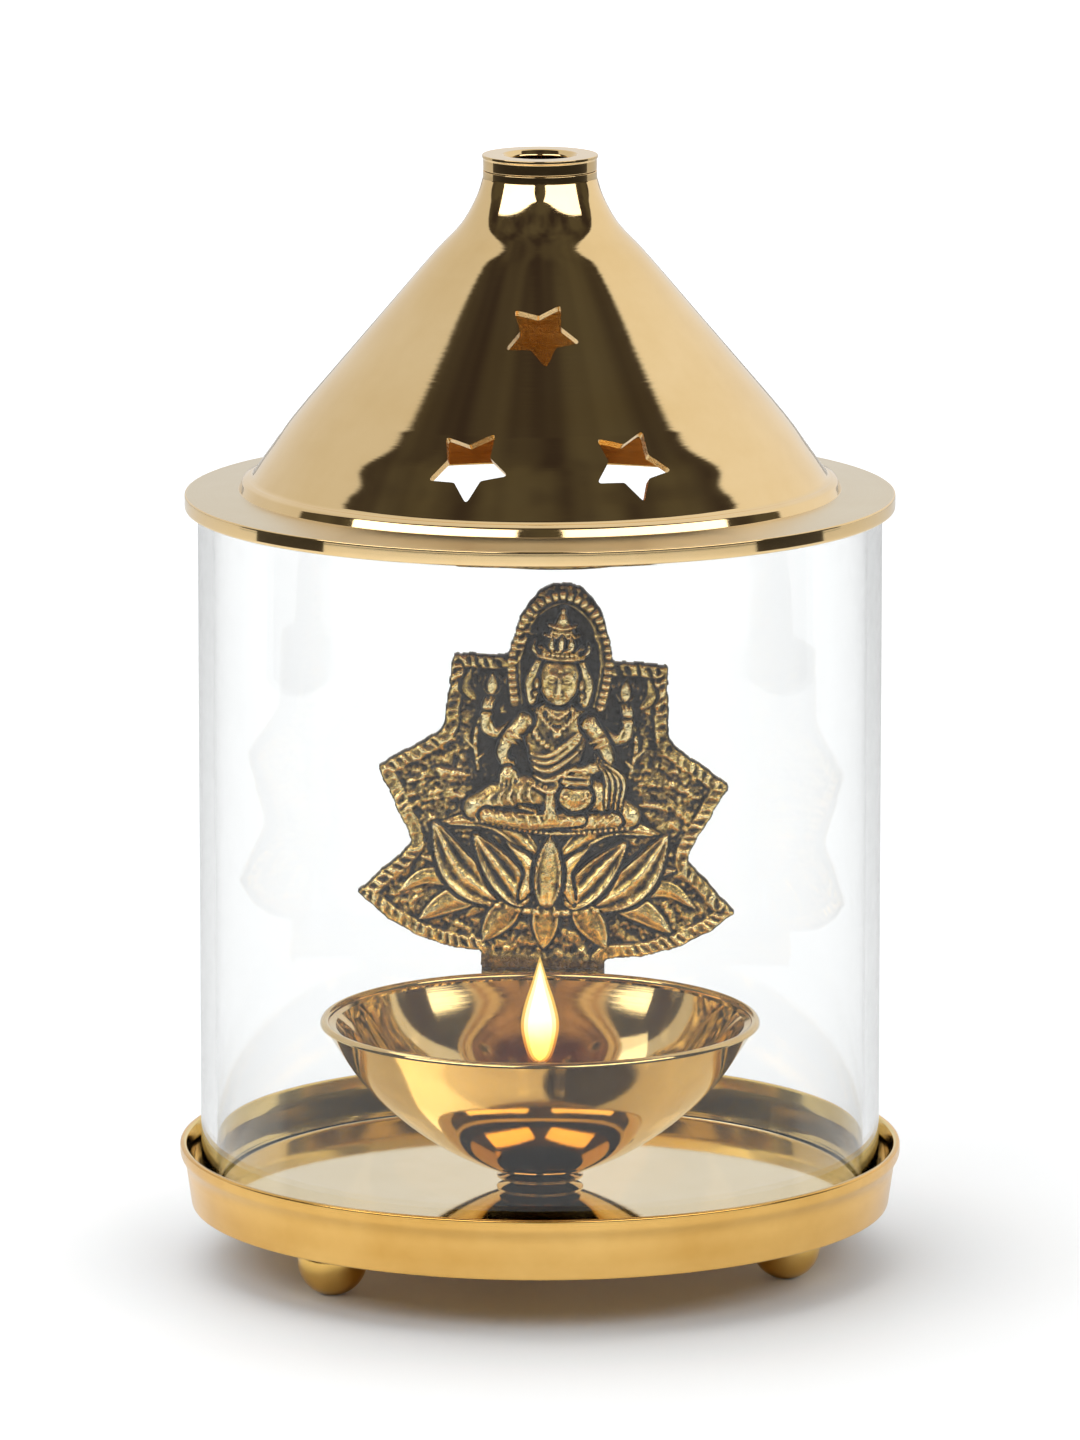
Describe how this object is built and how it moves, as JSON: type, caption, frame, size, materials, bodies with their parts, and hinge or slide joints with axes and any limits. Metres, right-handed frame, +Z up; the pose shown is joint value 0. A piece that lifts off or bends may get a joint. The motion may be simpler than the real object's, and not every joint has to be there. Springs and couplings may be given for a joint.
{
  "type": "diya",
  "caption": "Covered brass oil lamp: footed tray, oil bowl with wick holder, cast relief plaque, glass chimney and conical cap with star openings.",
  "frame": {"origin": "on the table under the lamp's axis, at the middle of the overall box", "axes": "+Z up along the lamp's axis; the relief plaque faces -Y, the front"},
  "size_m": [0.1062, 0.1062, 0.164],
  "materials": {
    "polished_brass": "polished",
    "satin_brass": "satin",
    "cast_brass": "antique cast",
    "clear_glass": "clear",
    "cotton": "woven cotton"
  },
  "bodies": {
    "base": {"tray": "satin_brass", "foot_1": "polished_brass", "foot_2": "polished_brass", "foot_3": "polished_brass", "bowl": "polished_brass", "bowl_spacer": "polished_brass", "base_washer": "polished_brass", "base_screw": "polished_brass", "plaque": "cast_brass", "plaque_rivet_1": "polished_brass", "plaque_rivet_2": "polished_brass"},
    "chimney": {"glass_chimney": "clear_glass"},
    "cap": {"cap": "polished_brass", "locating_ring": "satin_brass", "vent_bush": "polished_brass"},
    "wick_assembly": {"wick_holder": "polished_brass", "wick": "cotton"}
  },
  "joints": [
    {"name": "glass_lift", "type": "slide", "parent": "base", "child": "chimney", "axis": [0, 0, 1], "range_m": [0, 0.09]},
    {"name": "cap_lift", "type": "slide", "parent": "chimney", "child": "cap", "axis": [0, 0, 1], "range_m": [0, 0.03]},
    {"name": "wick_holder_lift", "type": "slide", "parent": "base", "child": "wick_assembly", "axis": [0, 0, 1], "range_m": [0, 0.026]}
  ]
}
